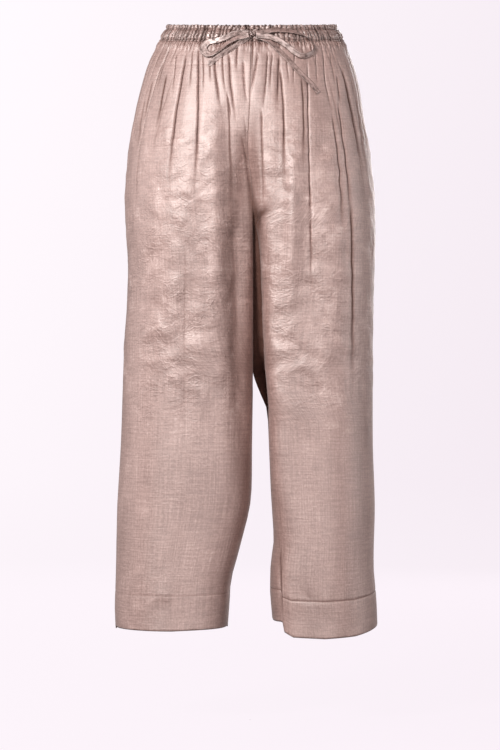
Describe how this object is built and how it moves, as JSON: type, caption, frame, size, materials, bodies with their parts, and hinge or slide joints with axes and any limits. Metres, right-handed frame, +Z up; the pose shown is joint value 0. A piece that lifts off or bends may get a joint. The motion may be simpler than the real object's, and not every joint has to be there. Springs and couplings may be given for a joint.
{
  "type": "pyjama trousers",
  "caption": "Worn, wide-legged pyjama trousers in lustrous slub silk, gathered on a frilled waistband with a tied drawstring bow.",
  "frame": {"origin": "middle of the waistband, at the height where the wearer's waist holds the trousers up", "axes": "+Z up, -Y towards the wearer's front, +X towards the wearer's left"},
  "size_m": [0.3924, 0.2919, 0.9294],
  "materials": {
    "silk": "lustrous dusty rose-taupe slub silk with a part-metallic sheen",
    "band_silk": "the same silk, closely gathered",
    "tie_silk": "the same silk sewn as a flat strip"
  },
  "bodies": {
    "root": {"waistband": "band_silk", "front_right": "silk", "front_left": "silk", "back_right": "silk", "back_left": "silk", "drawstring_knot": "tie_silk", "bow_loop_right": "tie_silk", "bow_loop_left": "tie_silk", "tie_end_right": "tie_silk", "tie_end_left": "tie_silk"}
  },
  "joints": []
}
